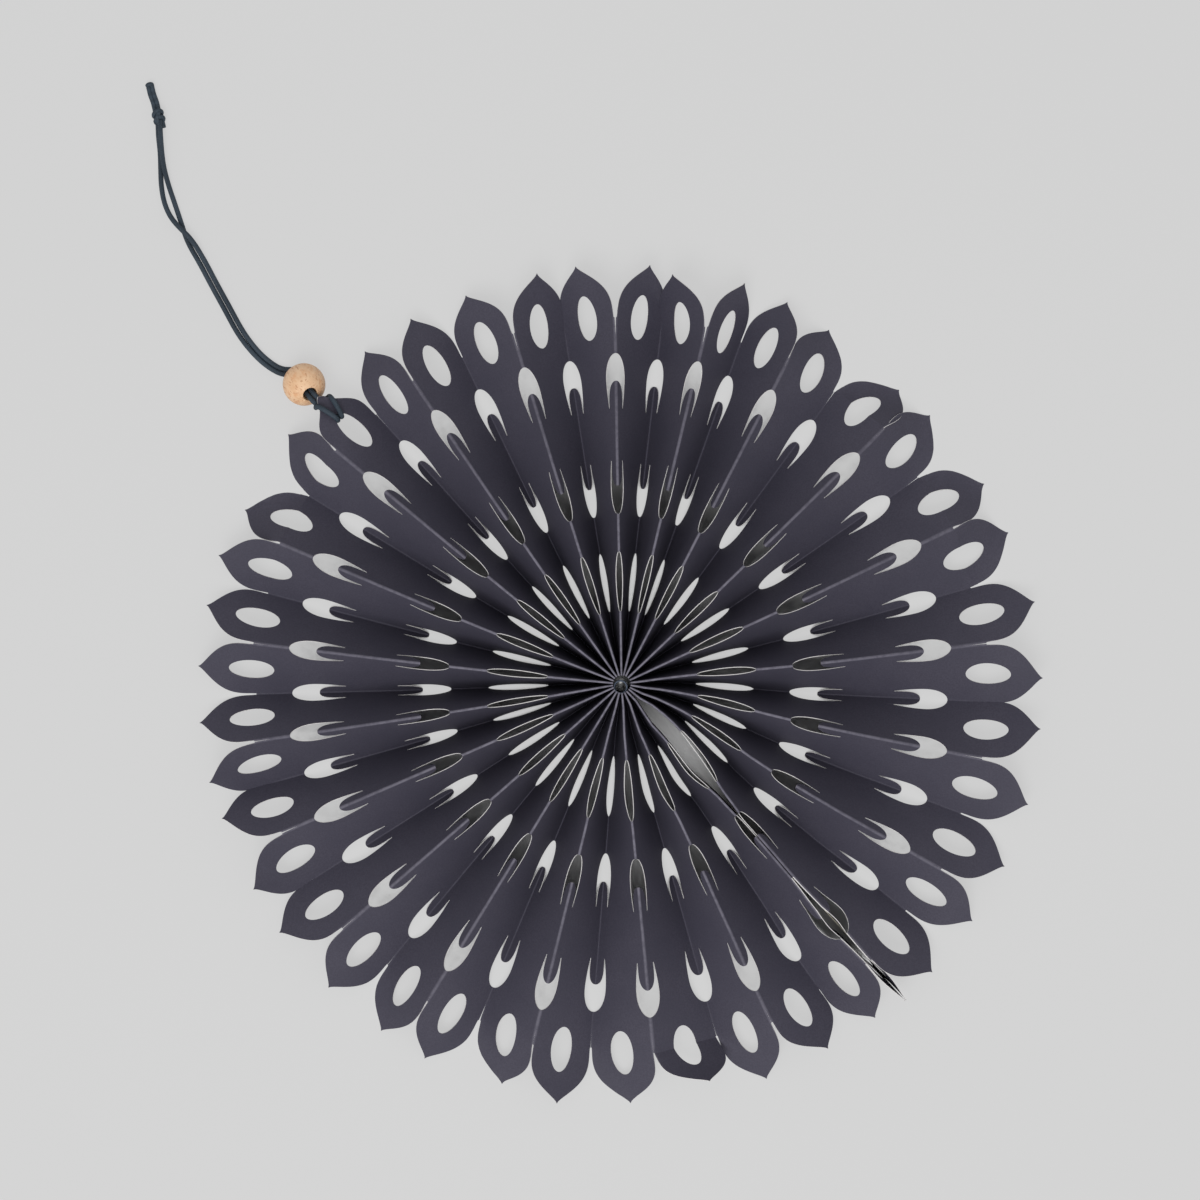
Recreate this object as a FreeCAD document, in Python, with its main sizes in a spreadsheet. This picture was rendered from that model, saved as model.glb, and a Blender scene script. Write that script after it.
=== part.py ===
import FreeCAD, Part
import Sketcher
import math
import os
from FreeCAD import Vector

os.makedirs("parts", exist_ok=True)
doc = FreeCAD.newDocument("PaperRosette")

# Driving dimensions, in millimetres and degrees
SIZES = [
    ("paper_thickness", 0.18, "card, two layers back to back make each ridge"),
    ("pleat_depth", 16.0, "height of the folds at the hub, the width of one panel"),
    ("rim_rise", 9.4, "height of a mountain fold at the notches"),
    ("seam_rise", 12.0, "height of the seam ridge at the notches"),
    ("hub_slack", 0.5, "room left round the packed inner edge"),
    ("seam_angle", 312.4, "direction of the seam, from +X towards +Y"),
    ("seam_gape", 3.4, "widest opening between the two end flaps"),
    ("gape_radius", 16.4, "where the flaps stand furthest apart"),
    ("gape_rest", 0.9, "opening left at the inner end of the middle cut"),
    ("notch_radius", 86.3, "bottom of the cut between two petals"),
    ("petal_length", 13.7, "from the notch to the pointed tip"),
    ("hole_inset", 4.6, "from the notch circle in to the start of the hole in a petal"),
    ("hole_length", 10.9, "length of the hole in a petal"),
    ("outer_inset", 21.2, "from the notch circle in to the inner ends of the outer cut"),
    ("outer_length", 12.7, "length of the outer cut"),
    ("outer_tongue", 6.2, "tongue of paper that reaches into the outer cut"),
    ("middle_start", 40.1, "inner end of the middle cut"),
    ("middle_length", 12.5, "length of the middle cut"),
    ("middle_tongue", 5.8, "tongue of paper that reaches into the middle cut"),
    ("inner_start", 17.1, "inner end of the inner cut"),
    ("inner_length", 14.2, "length of the inner cut"),
    ("tape_thickness", 0.1, "double-sided tape between the end flaps"),
    ("tape_width", 5.0, "height of the tape"),
    ("tape_margin", 0.7, "tape's inner end beyond the last crease before the outer cut"),
    ("tape_length", 19.5, "length of the tape"),
    ("tape_height", 3.4, "lower edge of the tape above the table"),
    ("tie_thickness", 0.6, "thread that gathers the inner edge"),
    ("tie_height", 14.6, "middle of the thread above the table"),
    ("tie_clearance", 0.15, "between the thread and the inner edge"),
    ("bead_diameter", 10.0, "wooden bead"),
    ("bore_diameter", 3.4, "hole through the bead"),
    ("bead_reach", 103.5, "from the hub to the middle of the bead"),
    ("bead_angle", 136.4, "direction of the bead"),
    ("bore_heading", 125.3, "direction in which the bore runs down"),
    ("bore_dip", 47.0, "slope of the bore"),
    ("cord_diameter", 1.2, "one strand of the cord"),
    ("cord_clearance", 0.06, "between the strands, and from them to the paper and the table"),
    ("knot_length", 4.2, "knot along the cord"),
    ("knot_width", 3.0, "knot across the cord"),
    ("stub_diameter", 1.9, "the two cut ends, melted together"),
    ("stub_length", 7.0, "cut ends beyond the knot"),
]
sheet = doc.addObject("Spreadsheet::Sheet", "Sizes")
for row, (alias, value, note) in enumerate(SIZES, start=1):
    sheet.set(f"A{row}", alias)
    sheet.set(f"B{row}", str(value))
    sheet.setAlias(f"B{row}", alias)
    sheet.set(f"C{row}", note)
doc.recompute()


def size(alias):
    return float(sheet.get(alias))


THICK = size("paper_thickness")
DEPTH = size("pleat_depth")
NOTCH = size("notch_radius")
TIP = NOTCH + size("petal_length")
HOLE_START = NOTCH - size("hole_inset")
HOLE_END = HOLE_START + size("hole_length")
OUTER_START = NOTCH - size("outer_inset")
SEAM = math.radians(size("seam_angle"))

# Angle from one mountain fold to the next, counter-clockwise from the seam, in degrees.
# The pleats were fanned by hand and are not even.
PLEATS = [17.9, 18.4, 18.0, 18.7, 18.9, 18.5, 13.7, 14.3, 16.1, 17.3, 16.1,
          16.9, 16.1, 15.2, 14.9, 17.7, 17.4, 17.7, 19.0, 19.1, 18.1]
TURN = 2 * math.pi / sum(PLEATS)
EVEN = math.pi / len(PLEATS)
HUB = THICK / (min(PLEATS) * TURN / 2) + size("hub_slack")

# Fold lines in order, even numbers are mountains and odd ones valleys.
# The first and the last are the two ridges at the seam.
folds = [SEAM]
for pleat in PLEATS:
    folds.append(folds[-1] + pleat * TURN / 2)
    folds.append(folds[-1] + pleat * TURN / 2)
LAST = len(folds) - 1

# Radii at which the surface has a crease line across, each one clear of the cuts
STATIONS = [
    HUB,
    size("gape_radius"),
    (size("inner_start") + size("inner_length") + size("middle_start")) / 2,
    (size("middle_start") + size("middle_length") + OUTER_START) / 2,
    (OUTER_START + size("outer_length") + HOLE_START) / 2,
    TIP + 1.5,
]
SEAM_GAPS = [
    size("tape_thickness"),
    size("seam_gape"),
    size("gape_rest"),
    size("tape_thickness"),
    size("tape_thickness"),
    size("tape_thickness"),
]
# The bead's cord lifts the petal that it is tied to: fold number and rise at the rim
LIFTED = {
    21: 0.28,
    22: 0.20,
}


def along(radius, angle, height=0.0):
    return Vector(radius * math.cos(angle), radius * math.sin(angle), height)


def across(angle):
    return Vector(-math.sin(angle), math.cos(angle), 0)


def between(values, radius):
    """A value given at each station, at any radius."""
    for a, b, low, high in zip(STATIONS, STATIONS[1:], values, values[1:]):
        if radius <= b:
            break
    return low + (high - low) * (radius - a) / (b - a)


def place(fold, radius):
    """Where a fold line runs, in plan."""
    point = along(radius, folds[fold])
    if fold in (0, LAST):
        side = 1 if fold == 0 else -1
        point += across(SEAM) * side * (between(SEAM_GAPS, radius) + THICK / 2) / 2
    return point


def rise(fold, radius):
    """Height of a fold above the table: the wider a pleat is drawn open, the lower it lies."""
    lift = LIFTED.get(fold, 0.0) * max(0.0, radius - STATIONS[-2])
    if fold % 2:
        return lift
    outer = size("seam_rise")
    if fold not in (0, LAST):
        outer = size("rim_rise") * 2 * EVEN / (folds[fold + 1] - folds[fold - 1])
    return DEPTH - (DEPTH - outer) * (radius / NOTCH) ** 2 + lift


def crease(fold, radius):
    """Underside and top of the paper at a fold, one above the other.

    They are so far apart that the sloping panels beside them have the paper's thickness.
    """
    middle = place(fold, radius)
    height = rise(fold, radius)
    beside = [k for k in (fold - 1, fold + 1) if 0 <= k <= LAST]
    reach = sum(middle.distanceToPoint(place(k, radius)) for k in beside) / len(beside)
    fall = sum(abs(height - rise(k, radius)) for k in beside) / len(beside)
    upright = THICK * math.hypot(fall, reach) / reach
    foot = middle + Vector(0, 0, height - (0.0 if fold % 2 else upright))
    return foot, foot + Vector(0, 0, upright)


def triangles(a, b, c, d):
    """Two flat faces that fill a ring of four corners, split along the line from a to c."""
    return [Part.Face(Part.makePolygon([p, q, r, p])) for p, q, r in ((a, b, c), (a, c, d))]


def folded_panel(first):
    """One panel before it is cut, from the middle of a fold to the middle of the next."""
    sections = []
    for radius in STATIONS:
        foot, top = crease(first, radius)
        next_foot, next_top = crease(first + 1, radius)
        sections.append([foot, top, next_top, next_foot])
    faces = triangles(*sections[0]) + triangles(*sections[-1])
    for near, far in zip(sections, sections[1:]):
        for k in range(4):
            ring = [near[k], near[k - 3], far[k - 3], far[k]]
            # the panel's twist is taken up along the line from the inner crest to the outer foot
            if (k == 1 and first % 2) or (k == 3 and not first % 2):
                ring = ring[1:] + ring[:1]
            faces += triangles(*ring)
    return closed(faces)


def closed(faces):
    """The solid inside a set of faces that meet edge to edge."""
    shell = Part.makeShell(faces)
    shell.sewShape()
    solid = Part.makeSolid(shell.Shells[0])
    if solid.Volume < 0:
        solid.reverse()
    return solid


# Outlines of the cuts, each point a radius and a share of the panel's width from the fold line
def tongued(start, length, tongue, outward):
    """Half of a long cut with a round end and a tongue of paper in the other end."""
    half = [
        (1.0, 0.0),
        (0.9, 0.14),
        (0.55, 0.21),
        (0.0, 0.165),
        (0.6 * tongue / length, 0.085),
        (tongue / length, 0.0),
    ]
    if outward:
        return [(start + share * length, width) for share, width in half]
    return [(start + (1 - share) * length, width) for share, width in half]


def pointed(start, length):
    """Half of a leaf-shaped cut."""
    return [(start, 0.0), (start + length * 0.3, 0.19), (start + length * 0.75, 0.19), (start + length, 0.0)]


CUTS = [
    tongued(OUTER_START, size("outer_length"), size("outer_tongue"), True),
    tongued(size("middle_start"), size("middle_length"), size("middle_tongue"), False),
    pointed(size("inner_start"), size("inner_length")),
]
HOLE = [
    (
        HOLE_START + size("hole_length") * (1 - math.cos(turn)) / 2,
        0.5 + 0.175 * math.sin(turn),
    )
    for turn in (2 * math.pi * k / 8 for k in range(8))
]


def petal_width(share):
    """Half width of a petal from the notch to the tip, rounded first and then pointed."""
    return 1 - 1.45 * share ** 3.3 + 0.45 * share ** 6.6


PETAL_SHARES = (0.36, 0.6, 0.8)


def plan(fold, radius, share):
    """A point on the panel after a fold, or before it for a negative share, in plan."""
    step = 1 if share > 0 else -1
    start = place(fold, radius)
    if not share:
        return start
    return start + (place(fold + step, radius) - start) * abs(share)


def column(points, low=-5.0, high=DEPTH + 5.0):
    """An upright prism over a plan outline."""
    ring = [Vector(p.x, p.y, low) for p in points]
    return Part.Face(Part.makePolygon(ring + ring[:1])).extrude(Vector(0, 0, high - low))


def panel_cutters(first):
    """Prisms for the cuts at a panel's two folds, the hole in its petal and the rim outside it."""
    cutters = [column([plan(first, r, w) for r, w in HOLE])]
    for fold, way in ((first, 1), (first + 1, -1)):
        for half in CUTS:
            outline = [plan(fold, r, way * w) for r, w in half]
            back = across(folds[fold]) * way * -0.3
            outline += [outline[-1] + back, outline[0] + back]
            cutters.append(column(outline))
    length = size("petal_length")
    side = [(NOTCH, 0.0)]
    for share in PETAL_SHARES:
        side.append((NOTCH + length * share, 0.5 - 0.5 * petal_width(share)))
    outline = [plan(first, r, w) for r, w in side]
    outline.append(plan(first, TIP, 0.5))
    outline += [plan(first, r, 1 - w) for r, w in reversed(side)]
    middle = (folds[first] + folds[first + 1]) / 2
    out = along(length + 5.0, middle)
    aside = across(middle) * 2.0
    before, after = outline[0], outline[-1]
    outline += [after + aside, after + aside + out, before - aside + out, before - aside]
    cutters.append(column(outline))
    return cutters


def flaps():
    """The two end panels, upright and back to back at the seam."""
    walls = []
    inner = HUB - THICK / 2
    radii = [inner] + STATIONS[1:-1] + [TIP]
    for side in (1, -1):
        near = []
        far = []
        for radius in radii:
            gap = between(SEAM_GAPS, radius) / 2
            near.append(along(radius, SEAM) + across(SEAM) * side * gap)
            far.append(along(radius, SEAM) + across(SEAM) * side * (gap + THICK))
        walls.append(column(near + far[::-1]))

    def standing(points):
        ring = [along(r, SEAM, z) for r, z in points]
        face = Part.Face(Part.makePolygon(ring + ring[:1]))
        face.translate(across(SEAM) * -10)
        return face.extrude(across(SEAM) * 20)

    length = size("petal_length")
    outline = [(inner, 0.0), (NOTCH, 0.0)]
    for share in PETAL_SHARES:
        r = NOTCH + length * share
        outline.append((r, rise(0, r) * (0.5 - petal_width(share) / 2)))
    outline.append((TIP, rise(0, TIP) / 2))
    for share in PETAL_SHARES[::-1]:
        r = NOTCH + length * share
        outline.append((r, rise(0, r) * (0.5 + petal_width(share) / 2)))
    outline += [(r, rise(0, r) + THICK / 2) for r in [NOTCH] + STATIONS[-2:0:-1] + [inner]]
    sheet_shape = standing(outline)
    cutters = [standing([(r, rise(0, r) * w) for r, w in HOLE])]
    for half in CUTS:
        cutters.append(standing([(r, rise(0, r) * (1 - w)) for r, w in half]
                                + [(half[-1][0], DEPTH + 1), (half[0][0], DEPTH + 1)]))
        cutters.append(standing([(r, rise(0, r) * w) for r, w in half]
                                + [(half[-1][0], -1.0), (half[0][0], -1.0)]))
    return [wall.common(sheet_shape).cut(cutters) for wall in walls]


def in_fold_plane(face, fold):
    """Whether a face lies in the upright plane through a fold, where two panels join."""
    normal = across(folds[fold])
    return all(abs(v.Point.dot(normal)) < 1e-5 for v in face.Vertexes)


def folded_paper():
    """All panels, cut and joined along the folds into one sheet."""
    first_flap, last_flap = flaps()
    faces = []
    for first in range(LAST):
        piece = folded_panel(first).cut(panel_cutters(first))
        if first == 0:
            piece = piece.fuse(first_flap)
        if first == LAST - 1:
            piece = piece.fuse(last_flap)
        for face in piece.Faces:
            joined = [k for k in (first, first + 1) if 0 < k < LAST and in_fold_plane(face, k)]
            if not joined:
                faces.append(face)
    return closed(faces)


paper = doc.addObject("Part::Feature", "PleatedPaper")
paper.Label = "pleated_paper"
paper.Shape = folded_paper()

# Double-sided tape between the end flaps, out where they stand parallel
tape = doc.addObject("Part::Box", "SeamTape")
tape.Label = "seam_tape"
tape.setExpression("Length", "Sizes.tape_length")
tape.setExpression("Width", "Sizes.tape_thickness")
tape.setExpression("Height", "Sizes.tape_width")
TAPE_CORNER = along(STATIONS[3] + size("tape_margin"), SEAM, size("tape_height"))
tape.Placement = FreeCAD.Placement(
    TAPE_CORNER - across(SEAM) * size("tape_thickness") / 2,
    FreeCAD.Rotation(Vector(0, 0, 1), math.degrees(SEAM)),
)

# Ring of thread just inside the hub, which gathers the inner edge
tie = doc.addObject("Part::Torus", "HubThread")
tie.Label = "hub_thread"
tie.setExpression(
    "Radius1",
    f"Sizes.paper_thickness * {(HUB - size('hub_slack')) / THICK:.9f}"
    " + Sizes.hub_slack - Sizes.tie_clearance - Sizes.tie_thickness / 2",
)
tie.setExpression("Radius2", "Sizes.tie_thickness / 2")
tie.setExpression("Placement.Base.z", "Sizes.tie_height")

# Turned bead, a ball with a plain bore, lying on the table with the bore aslant
BEAD = along(size("bead_reach"), math.radians(size("bead_angle")), size("bead_diameter") / 2)
HEADING = math.radians(size("bore_heading"))
DIP = math.radians(size("bore_dip"))
BORE = along(math.cos(DIP), HEADING, -math.sin(DIP))
bead = doc.addObject("PartDesign::Body", "WoodenBead")
bead.Label = "wooden_bead"
upright_plane = [f for f in bead.Origin.OriginFeatures if f.Role == "XZ_Plane"][0]
profile = bead.newObject("Sketcher::SketchObject", "BeadProfile")
profile.AttachmentSupport = [(upright_plane, "")]
profile.MapMode = "FlatFace"
ball, bore = size("bead_diameter") / 2, size("bore_diameter") / 2
mouth = math.sqrt(ball ** 2 - bore ** 2)
tilt = math.asin(mouth / ball)
outside = Part.ArcOfCircle(Part.Circle(Vector(0, 0, 0), Vector(0, 0, 1), ball), -tilt, tilt)
profile.addGeometry(outside)
profile.addGeometry(Part.LineSegment(Vector(bore, mouth, 0), Vector(bore, -mouth, 0)))
profile.addConstraint(Sketcher.Constraint("Coincident", 0, 3, -1, 1))
profile.addConstraint(Sketcher.Constraint("Coincident", 0, 2, 1, 1))
profile.addConstraint(Sketcher.Constraint("Coincident", 0, 1, 1, 2))
profile.addConstraint(Sketcher.Constraint("Vertical", 1))
radius_rule = profile.addConstraint(Sketcher.Constraint("Radius", 0, ball))
profile.setExpression(f"Constraints[{radius_rule}]", "Sizes.bead_diameter / 2")
bore_rule = profile.addConstraint(Sketcher.Constraint("DistanceX", -1, 1, 1, 1, bore))
profile.setExpression(f"Constraints[{bore_rule}]", "Sizes.bore_diameter / 2")
turned = bead.newObject("PartDesign::Revolution", "Turned")
turned.Profile = profile
turned.ReferenceAxis = (profile, ["V_Axis"])
turned.Angle = 360.0
bead.Tip = turned
bead.Placement = FreeCAD.Placement(BEAD, FreeCAD.Rotation(Vector(0, 0, 1), BORE * -1))

# Knot in the two strands, and their ends melted together beyond it
KNOT = Vector(-109.3, 134.6, size("knot_width") / 2)
STUB_WAY = Vector(-2.3, 7.9, 0).normalize()
lump = doc.addObject("Part::Ellipsoid", "KnotLump")
lump.setExpression("Radius1", "Sizes.knot_length / 2")
lump.setExpression("Radius2", "Sizes.knot_width / 2")
lump.setExpression("Radius3", "Sizes.knot_width / 2")
lump.Placement = FreeCAD.Placement(KNOT, FreeCAD.Rotation(Vector(0, 0, 1), STUB_WAY))
stub = doc.addObject("Part::Cylinder", "KnotStub")
stub.setExpression("Radius", "Sizes.stub_diameter / 2")
stub.setExpression("Height", "Sizes.stub_length + Sizes.knot_length / 4")
STUB_FOOT = Vector(KNOT.x, KNOT.y, size("stub_diameter") / 2) + STUB_WAY * size("knot_length") / 4
stub.Placement = FreeCAD.Placement(STUB_FOOT, FreeCAD.Rotation(Vector(0, 0, 1), STUB_WAY))
knot = doc.addObject("Part::Fuse", "CordKnot")
knot.Label = "cord_knot"
knot.Base = lump
knot.Tool = stub
doc.recompute()

# The cord: one length folded in two, hitched to a petal, both halves through the bead to the knot.
# On the petal a point is given by its radius, its distance up the slope and its height above it.
CORD = size("cord_diameter")
BESIDE = (CORD + size("cord_clearance") * 2) / 2
ABOVE = CORD / 2 + THICK / 2 + size("cord_clearance") * 2
LAID = CORD / 2 + size("cord_clearance") / 2
PETAL_FOLD = min(LIFTED)


def on_petal(radius, up, above):
    """A point near the petal that carries the cord."""
    outer, inner = STATIONS[-1], STATIONS[-2]
    valley = place(PETAL_FOLD, outer) + Vector(0, 0, rise(PETAL_FOLD, outer))
    crest = place(PETAL_FOLD + 1, outer) + Vector(0, 0, rise(PETAL_FOLD + 1, outer))
    crest_in = place(PETAL_FOLD + 1, inner) + Vector(0, 0, rise(PETAL_FOLD + 1, inner))
    slope = (crest - valley).normalize()
    normal = (crest_in - crest).cross(valley - crest).normalize()
    if normal.z < 0:
        normal = normal * -1
    out = slope.cross(normal)
    middle = (valley + crest) / 2
    if out.dot(middle) < 0:
        out = out * -1
    return middle + out * (radius - math.hypot(middle.x, middle.y)) + slope * up + normal * above


def pair(path, side):
    """The plan path of one strand of a pair that lies side by side; +1 is the left strand."""
    strand = []
    for k, (x, y, z) in enumerate(path[1:-1], start=1):
        before = Vector(x - path[k - 1][0], y - path[k - 1][1], 0).normalize()
        after = Vector(path[k + 1][0] - x, path[k + 1][1] - y, 0).normalize()
        middle = (before + after).normalize()
        left = Vector(-middle.y, middle.x, 0)
        strand.append(Vector(x, y, z) + left * side * BESIDE / middle.dot(before))
    return strand


def tube(points):
    """A round tube along straight runs joined by tangent arcs."""
    radii = []
    start = points[0]
    edges = []
    for before, at, after in zip(points, points[1:], points[2:]):
        run_in, run_out = at - before, after - at
        turn = run_in.getAngle(run_out)
        shorter = min(run_in.Length, run_out.Length)
        radii.append(0.45 * shorter / math.tan(turn / 2))
        into, onward = run_in.normalize(), run_out.normalize()
        first, last = at - into * 0.45 * shorter, at + onward * 0.45 * shorter
        inward = (onward - into).normalize()
        centre = at + inward * radii[-1] / math.cos(turn / 2)
        edges.append(Part.LineSegment(start, first).toShape())
        edges.append(Part.Arc(first, centre - inward * radii[-1], last).toShape())
        start = last
    edges.append(Part.LineSegment(start, points[-1]).toShape())
    path = Part.Wire(edges)
    ring = Part.Wire(Part.Circle(points[0], points[1] - points[0], CORD / 2).toShape())
    solid = path.makePipeShell([ring], True, False)
    share = solid.Volume / (math.pi * CORD ** 2 / 4 * path.Length)
    print(f"cord {path.Length:.1f} mm, volume {share:.4f} of section times length, radii",
          " ".join(f"{radius:.1f}" for radius in radii))
    return solid


LANDING = BEAD + BORE * ((BEAD.z - LAID) / math.sin(DIP))
ENTRY = BEAD - BORE * (size("bead_diameter") / 2 - 0.9)
# middle of the pair from the bore to the crossing, on the table
PAIR = [
    (ENTRY.x, ENTRY.y, ENTRY.z),
    (LANDING.x, LANDING.y, LAID),
    (-80.4, 74.4, LAID),
    (-83.4, 76.1, LAID),
    (-86.5, 78.9, LAID),
    (-90.0, 83.4, LAID),
    (-93.3, 89.6, LAID),
    (-96.4, 95.2, LAID),
    (-99.1, 100.4, LAID),
    (-102.0, 105.3, LAID),
    (-104.3, 108.8, LAID),
]
# beyond the crossing the strands part a little and meet again at the knot
LOOSE_ENDS = {
    1: [
        (-104.1, 109.4, LAID),
        (-105.7, 113.9, LAID),
        (-107.1, 118.5, LAID),
        (-108.1, 123.3, LAID),
        (-108.6, 127.6, LAID),
        (-108.65, 131.2, LAID + 0.25),
        (-108.75, 133.9, LAID + 0.65),
    ],
    -1: [
        (-104.6, 108.6, LAID + 1.5),
        (-106.8, 111.3, LAID + 0.8),
        (-108.5, 115.0, LAID),
        (-109.5, 119.4, LAID),
        (-109.8, 123.7, LAID),
        (-109.95, 127.8, LAID),
        (-110.05, 131.2, LAID + 0.25),
        (-110.0, 133.9, LAID + 0.65),
    ],
}
for side, name in ((1, "cord_lower_strand"), (-1, "cord_upper_strand")):
    aside = Vector(math.sin(HEADING), -math.cos(HEADING), 0) * -side * BESIDE
    route = [
        on_petal(HOLE_END + 4.9, 0.0, -ABOVE - CORD - 0.3),
        on_petal(HOLE_END + 4.9, side * 3.6, -ABOVE - CORD - 0.3),
        on_petal(HOLE_END + 5.0, side * 3.7, ABOVE + 0.2),
        on_petal(HOLE_END - 1.8, side * BESIDE, ABOVE),
        on_petal(HOLE_END - 1.8, side * BESIDE, -ABOVE),
        on_petal(HOLE_END + 5.5, side * BESIDE + 0.7, -ABOVE - 0.1),
        ENTRY + aside,
    ]
    route += pair(PAIR, side)
    if side < 0:
        route[-1] = route[-1] + Vector(0, 0, 1.15)
    route += [Vector(*point) for point in LOOSE_ENDS[side]]
    cord = doc.addObject("Part::Feature", "".join(word.title() for word in name.split("_")))
    cord.Label = name
    cord.Shape = tube(route).cut(knot.Shape)
    print(name, [tuple(round(c, 2) for c in p) for p in route])

doc.recompute()

NODES = ["pleated_paper", "seam_tape", "hub_thread", "wooden_bead", "cord_knot",
         "cord_lower_strand", "cord_upper_strand"]
for item in doc.Objects:
    if "Invalid" in item.State or "Error" in item.State:
        raise RuntimeError(f"{item.Name} did not compute: {item.State}")
for label in NODES:
    shape = doc.getObjectsByLabel(label)[0].Shape
    if shape.isNull() or not shape.isValid() or len(shape.Solids) != 1:
        raise RuntimeError(f"{label} is not one valid solid")
for label in NODES:
    shape = doc.getObjectsByLabel(label)[0].Shape
    shape.exportStep(f"parts/{label}.step")
    print(f"{label}: {shape.Volume:.1f} cubic mm, {len(shape.tessellate(0.05)[1])} triangles")
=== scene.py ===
import bisect
import math

import bmesh
import bpy
from mathutils import Matrix, Vector


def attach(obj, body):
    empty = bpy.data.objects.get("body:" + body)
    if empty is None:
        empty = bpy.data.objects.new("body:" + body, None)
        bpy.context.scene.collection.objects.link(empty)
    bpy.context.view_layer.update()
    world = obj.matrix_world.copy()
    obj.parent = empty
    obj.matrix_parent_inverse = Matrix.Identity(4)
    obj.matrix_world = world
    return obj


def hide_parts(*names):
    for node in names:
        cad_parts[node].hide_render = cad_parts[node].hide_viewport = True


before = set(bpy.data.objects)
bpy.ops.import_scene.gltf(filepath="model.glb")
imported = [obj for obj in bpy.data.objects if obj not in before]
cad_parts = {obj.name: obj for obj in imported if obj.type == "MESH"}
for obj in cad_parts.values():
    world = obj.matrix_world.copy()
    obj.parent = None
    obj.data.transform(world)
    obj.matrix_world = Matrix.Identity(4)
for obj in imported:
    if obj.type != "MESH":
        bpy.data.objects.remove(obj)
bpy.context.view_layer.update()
scene = bpy.context.scene
MM = 0.001

# Camera: straight above, a little to the upper left of the hub
camera_data = bpy.data.cameras.new("overhead")
camera_data.sensor_width = 36.0
camera_data.lens = 81.0
camera_data.clip_start = 0.01
camera = bpy.data.objects.new("overhead", camera_data)
camera.location = (-0.00475, 0.0202, 0.641)
scene.collection.objects.link(camera)
scene.camera = camera
scene.view_settings.view_transform = "Standard"


def add_object(name, mesh):
    piece = bpy.data.objects.new(name, mesh)
    scene.collection.objects.link(piece)
    return piece


def mesh_from(name, shape):
    mesh = bpy.data.meshes.new(name)
    shape.to_mesh(mesh)
    shape.free()
    return mesh


def smooth(mesh):
    for face in mesh.polygons:
        face.use_smooth = True


# Cord: both halves of one length, from the bight under the petal to the knot, in millimetres
LOWER_STRAND = [
    (-71.1, 66.79, 6.69), (-71.5, 64.9, 7.9), (-70.76, 65.7, 10.9), (-65.88, 62.47, 9.72),
    (-66.31, 62.06, 8.21), (-71.53, 66.25, 8.3), (-73.37, 68.31, 8.0), (-77.12, 73.61, 0.63),
    (-80.3, 73.62, 0.63), (-83.75, 75.61, 0.63), (-86.94, 78.5, 0.63), (-90.56, 83.04, 0.63),
    (-93.88, 89.29, 0.63), (-96.98, 94.89, 0.63), (-99.68, 100.08, 0.63), (-102.56, 104.95, 0.63),
    (-104.0, 109.4, 0.63), (-105.5, 113.9, 0.63), (-107.0, 118.3, 0.75), (-108.1, 122.6, 1.45),
    (-108.55, 126.6, 1.72), (-108.8, 130.2, 1.7), (-108.9, 132.2, 1.75), (-108.95, 133.9, 1.7),
]
UPPER_STRAND = [
    (-71.1, 66.79, 6.69), (-68.9, 67.6, 5.5), (-67.95, 68.3, 8.6), (-65.03, 63.36, 9.23),
    (-65.46, 62.95, 7.73), (-70.68, 67.13, 7.9), (-72.3, 69.07, 8.0), (-76.49, 75.0, 0.63),
    (-80.08, 74.8, 0.63), (-83.05, 76.58, 0.63), (-86.06, 79.31, 0.63), (-89.44, 83.76, 0.63),
    (-92.72, 89.91, 0.63), (-95.82, 95.51, 0.63), (-98.52, 100.72, 0.63), (-101.44, 105.65, 1.78),
    (-104.6, 108.6, 2.13), (-106.7, 111.2, 1.43), (-108.2, 114.6, 0.63), (-108.85, 118.6, 0.63),
    (-108.95, 122.6, 0.63), (-109.05, 126.4, 0.63), (-109.5, 130.2, 0.63), (-109.5, 132.2, 0.88),
    (-109.6, 133.9, 1.1),
]


def nurbs_line(name, points, steps, closed=False):
    """A smooth curve object whose control points are given in millimetres."""
    curve = bpy.data.curves.new(name, "CURVE")
    curve.dimensions = "3D"
    curve.resolution_u = steps
    spline = curve.splines.new("NURBS")
    spline.points.add(len(points) - 1)
    for control, point in zip(spline.points, points):
        control.co = (*(value * MM for value in point), 1.0)
    spline.order_u = 3
    spline.use_endpoint_u = not closed
    spline.use_cyclic_u = closed
    line = bpy.data.objects.new(name, curve)
    scene.collection.objects.link(line)
    return line


def tube(name, points, radius, steps=8, sides=5, closed=False):
    """A round tube along a smooth line, and the points of that line."""
    line = nurbs_line(name + "_line", points, steps, closed)
    spine = bpy.data.meshes.new_from_object(line)
    path = [vertex.co.copy() for vertex in spine.vertices]
    line.data.bevel_depth = radius * MM
    line.data.bevel_resolution = sides
    line.data.use_fill_caps = not closed
    mesh = bpy.data.meshes.new_from_object(line)
    mesh.name = name
    bpy.data.objects.remove(line)
    smooth(mesh)
    return mesh, path


cords = []
for name, points, length in (
    ("cord_lower", LOWER_STRAND, 0.1051),
    ("cord_upper", UPPER_STRAND, 0.1058),
):
    mesh, path = tube(name, points, 0.6)
    strand = add_object(name, mesh)
    cords.append((strand, path, length, Vector(points[0]) * MM))

# The folded card: one strip, creased into standing pleats and gathered at the hub.
# Directions in degrees, counter-clockwise from the seam; even folds are mountains.
FOLDS = [
    312.4, 321.7, 330.3, 339.4, 348.7, 357.4, 366.7, 375.5, 385.4, 394.8, 404.3, 413.8, 422.8,
    430.6, 436.5, 443.4, 450.8, 458.9, 466.9, 475.7, 484.2, 492.0, 500.3, 508.7, 517.2, 525.4,
    533.3, 541.4, 548.5, 555.7, 563.4, 572.3, 581.1, 590.2, 598.5, 607.2, 616.2, 625.3, 635.2,
    645.4, 654.3, 663.5, 672.4,
]
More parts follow.
